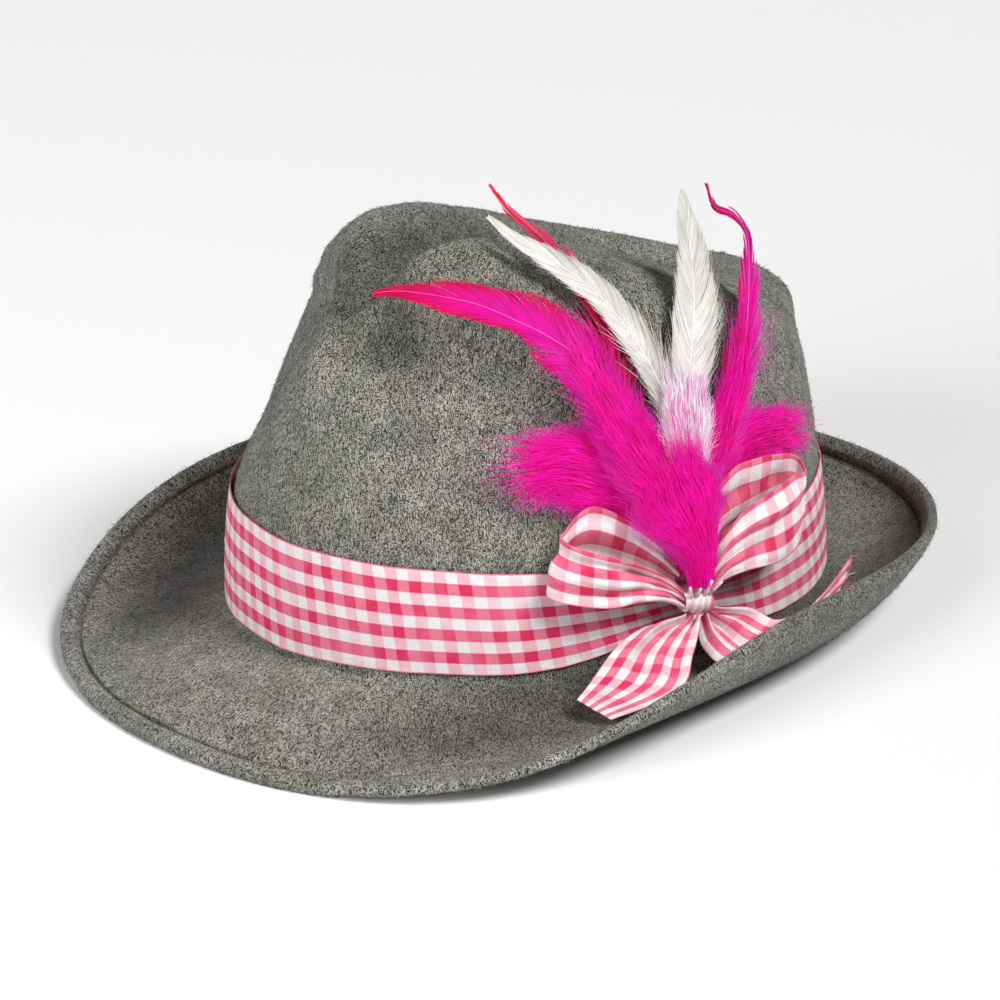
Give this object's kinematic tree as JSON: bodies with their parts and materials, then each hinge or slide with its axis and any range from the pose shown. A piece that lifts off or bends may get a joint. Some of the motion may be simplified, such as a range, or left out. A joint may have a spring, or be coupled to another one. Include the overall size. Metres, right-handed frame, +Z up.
{
  "type": "tyrolean hat",
  "caption": "Grey wool felt tyrolean hat with a creased crown, curled brim, gingham ribbon band and bow, and dyed and white feathers.",
  "frame": {"origin": "on the floor under the centre of the bounding box, the hat resting on its brim", "axes": "+Z up, +Y to the back of the hat, which is the longest way, and +X to the wearer's left, where the bow and feathers are"},
  "size_m": [0.2496, 0.2882, 0.1551],
  "materials": {
    "felt": "melange wool felt with a short nap",
    "gingham": "pink and white woven cotton gingham",
    "feather_pink": "dyed feather barbs, soft sheen",
    "feather_crimson": "dyed feather barbs, soft sheen",
    "feather_white": "natural feather barbs, soft sheen"
  },
  "bodies": {
    "root": {"felt_body": "felt", "ribbon_band": "gingham", "bow_knot": "gingham", "bow_loop_front": "gingham", "bow_loop_back": "gingham", "bow_tail_front": "gingham", "bow_tail_back": "gingham", "feather_pink_long": "feather_pink", "feather_red_hackle": "feather_crimson", "feather_white_hackle": "feather_white", "feather_white_plume": "feather_white", "feather_pink_curl": "feather_pink", "down_pink_front": "feather_pink", "down_pink_back": "feather_pink", "down_pink_centre": "feather_pink", "down_white": "feather_white"}
  },
  "joints": []
}
